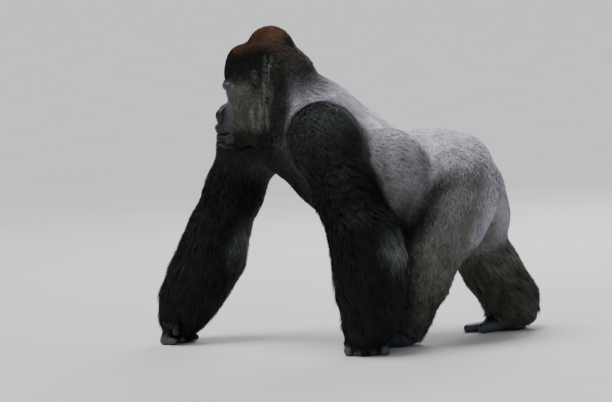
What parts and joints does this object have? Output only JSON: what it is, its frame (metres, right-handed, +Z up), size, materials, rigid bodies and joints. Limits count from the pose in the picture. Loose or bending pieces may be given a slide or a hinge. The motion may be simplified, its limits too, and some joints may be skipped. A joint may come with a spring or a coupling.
{
  "type": "life-size gorilla model",
  "caption": "Still, life-size model of a silverback gorilla walking on its knuckles, one hand forward, head turned a little aside.",
  "frame": {"origin": "on the floor under the middle of the bounding box", "axes": "+Z up, -X the way the gorilla walks, -Y its left side; the longest extent lies along X"},
  "size_m": [1.3952, 0.8476, 1.1527],
  "materials": {
    "coat_black": "long, wavy charcoal hair",
    "coat_silver": "short, dense silver-grey hair",
    "coat_grey": "short grey-brown hair",
    "coat_rust": "short hair, rusty on the crown, dark on the temples",
    "skin": "bare blue-black skin, soft sheen",
    "eye": "wet dark brown eye"
  },
  "bodies": {
    "root": {"left_upper_arm": "coat_black", "left_forearm": "coat_black", "left_hand": "skin", "left_thigh": "coat_silver", "left_shank": "coat_grey", "left_foot": "skin", "right_upper_arm": "coat_black", "right_forearm": "coat_black", "right_hand": "skin", "right_thigh": "coat_silver", "right_shank": "coat_grey", "right_foot": "skin", "left_eye": "eye", "left_ear": "skin", "right_eye": "eye", "right_ear": "skin", "chest": "coat_silver", "loin": "coat_silver", "neck": "coat_grey", "head": "coat_rust"}
  },
  "joints": []
}
